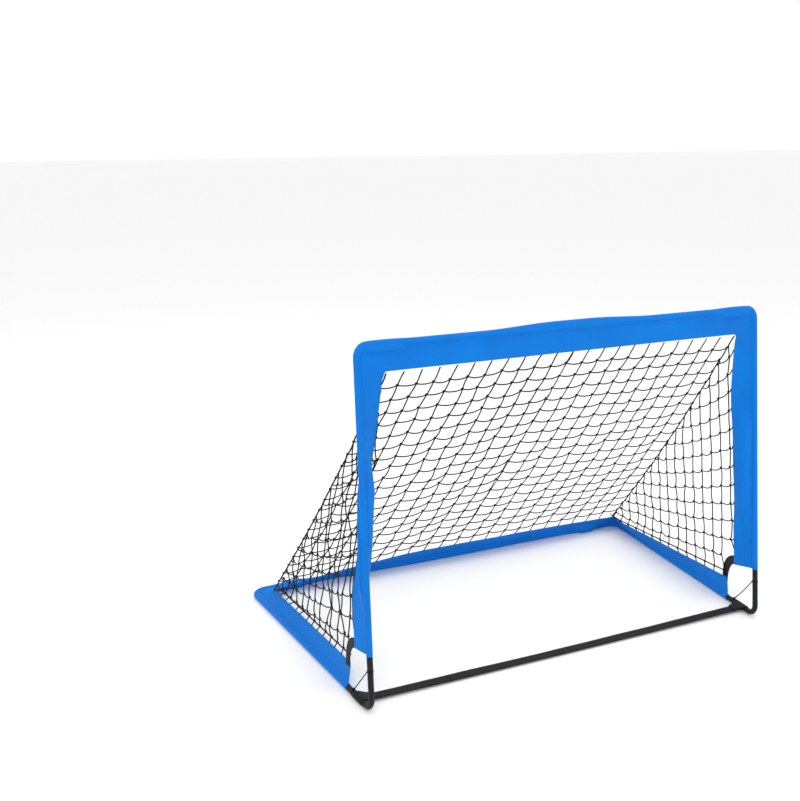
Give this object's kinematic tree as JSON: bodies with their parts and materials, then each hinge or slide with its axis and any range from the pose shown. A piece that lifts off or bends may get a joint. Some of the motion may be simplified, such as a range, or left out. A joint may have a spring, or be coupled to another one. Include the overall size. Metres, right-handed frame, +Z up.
{
  "type": "pop up goal",
  "caption": "Folding pop up football goal with a blue sleeved tube frame, a knotted net and a strap across the mouth.",
  "frame": {"origin": "on the ground, in the middle of the goal's width and depth", "axes": "+X to the goal's right seen from the front, -Y out of the open mouth, +Z up"},
  "size_m": [1.3128, 0.7999, 0.9006],
  "materials": {
    "frame_tube": "satin black paint",
    "hinge_metal": "zinc plated",
    "pin_metal": "bright steel",
    "blue_oxford": "coated woven polyester",
    "black_webbing": "woven nylon",
    "net_twine": "knotted twine"
  },
  "bodies": {
    "right_side": {"side_tube_right": "frame_tube", "corner_cover_right": "black_webbing", "top_hinge_fork_right": "hinge_metal", "top_hinge_pin_right": "pin_metal", "rear_hinge_fork_right": "hinge_metal", "rear_hinge_pin_right": "pin_metal", "post_sleeve_right": "blue_oxford", "base_sleeve_right": "blue_oxford", "corner_webbing_right": "black_webbing", "brace_cord_right": "net_twine", "front_strap_right": "black_webbing", "strap_patch_right": "black_webbing", "side_net_right": "net_twine", "back_net_right": "net_twine", "net_rope_right": "net_twine"},
    "left_side": {"side_tube_left": "frame_tube", "corner_cover_left": "black_webbing", "top_hinge_fork_left": "hinge_metal", "top_hinge_pin_left": "pin_metal", "rear_hinge_fork_left": "hinge_metal", "rear_hinge_pin_left": "pin_metal", "post_sleeve_left": "blue_oxford", "base_sleeve_left": "blue_oxford", "corner_webbing_left": "black_webbing", "brace_cord_left": "net_twine", "front_strap_left": "black_webbing", "strap_patch_left": "black_webbing", "side_net_left": "net_twine", "back_net_left": "net_twine", "net_rope_left": "net_twine"},
    "crossbar_right": {"crossbar_tube_right": "frame_tube", "crossbar_end_tongue_right": "hinge_metal", "crossbar_centre_fork": "hinge_metal", "crossbar_centre_pin": "pin_metal", "crossbar_spring": "pin_metal", "crossbar_sleeve_right": "blue_oxford"},
    "crossbar_left": {"crossbar_tube_left": "frame_tube", "crossbar_end_tongue_left": "hinge_metal", "crossbar_centre_tongue": "hinge_metal", "crossbar_sleeve_left": "blue_oxford"},
    "rear_right": {"rear_tube_right": "frame_tube", "rear_end_tongue_right": "hinge_metal", "rear_centre_fork": "hinge_metal", "rear_centre_pin": "pin_metal", "rear_spring": "pin_metal", "rear_sleeve_right": "blue_oxford"},
    "rear_left": {"rear_tube_left": "frame_tube", "rear_end_tongue_left": "hinge_metal", "rear_centre_tongue": "hinge_metal", "rear_sleeve_left": "blue_oxford"}
  },
  "joints": [
    {"name": "fold", "type": "hinge", "parent": "right_side", "child": "crossbar_right", "pos_m": [0.525, -0.31925, 0.87853], "axis": [0, -0.9962, 0.0872], "range_deg": [0, 90], "stiffness_Nm_per_rad": 1.2, "springref_deg": -114.59, "deforming": ["post_sleeve_right", "base_sleeve_right", "front_strap_right", "strap_patch_right", "side_net_right", "back_net_right", "net_rope_right", "post_sleeve_left", "base_sleeve_left", "front_strap_left", "strap_patch_left", "side_net_left", "back_net_left", "net_rope_left", "crossbar_sleeve_right", "crossbar_sleeve_left", "rear_sleeve_right", "rear_sleeve_left", "crossbar_spring", "rear_spring"]},
    {"name": "crossbar_centre", "type": "hinge", "parent": "crossbar_right", "child": "crossbar_left", "pos_m": [0, -0.31777, 0.89547], "axis": [0, -0.9962, 0.0872], "range_deg": [-180, 0]},
    {"name": "crossbar_left_end", "type": "hinge", "parent": "crossbar_left", "child": "left_side", "pos_m": [-0.525, -0.31925, 0.87853], "axis": [0, -0.9962, 0.0872], "range_deg": [0, 90]},
    {"name": "rear_right_end", "type": "hinge", "parent": "right_side", "child": "rear_right", "pos_m": [0.525, 0.3785, 0.0086], "axis": [0, 0, 1], "range_deg": [0, 90]},
    {"name": "rear_left_end", "type": "hinge", "parent": "left_side", "child": "rear_left", "pos_m": [-0.525, 0.3785, 0.0086], "axis": [0, 0, -1], "range_deg": [0, 90]}
  ],
  "couplings": [
    {"joint": "crossbar_centre", "follows": "fold", "ratio": -2},
    {"joint": "crossbar_left_end", "follows": "fold", "ratio": 1},
    {"joint": "rear_right_end", "follows": "fold", "ratio": 1},
    {"joint": "rear_left_end", "follows": "fold", "ratio": 1}
  ]
}
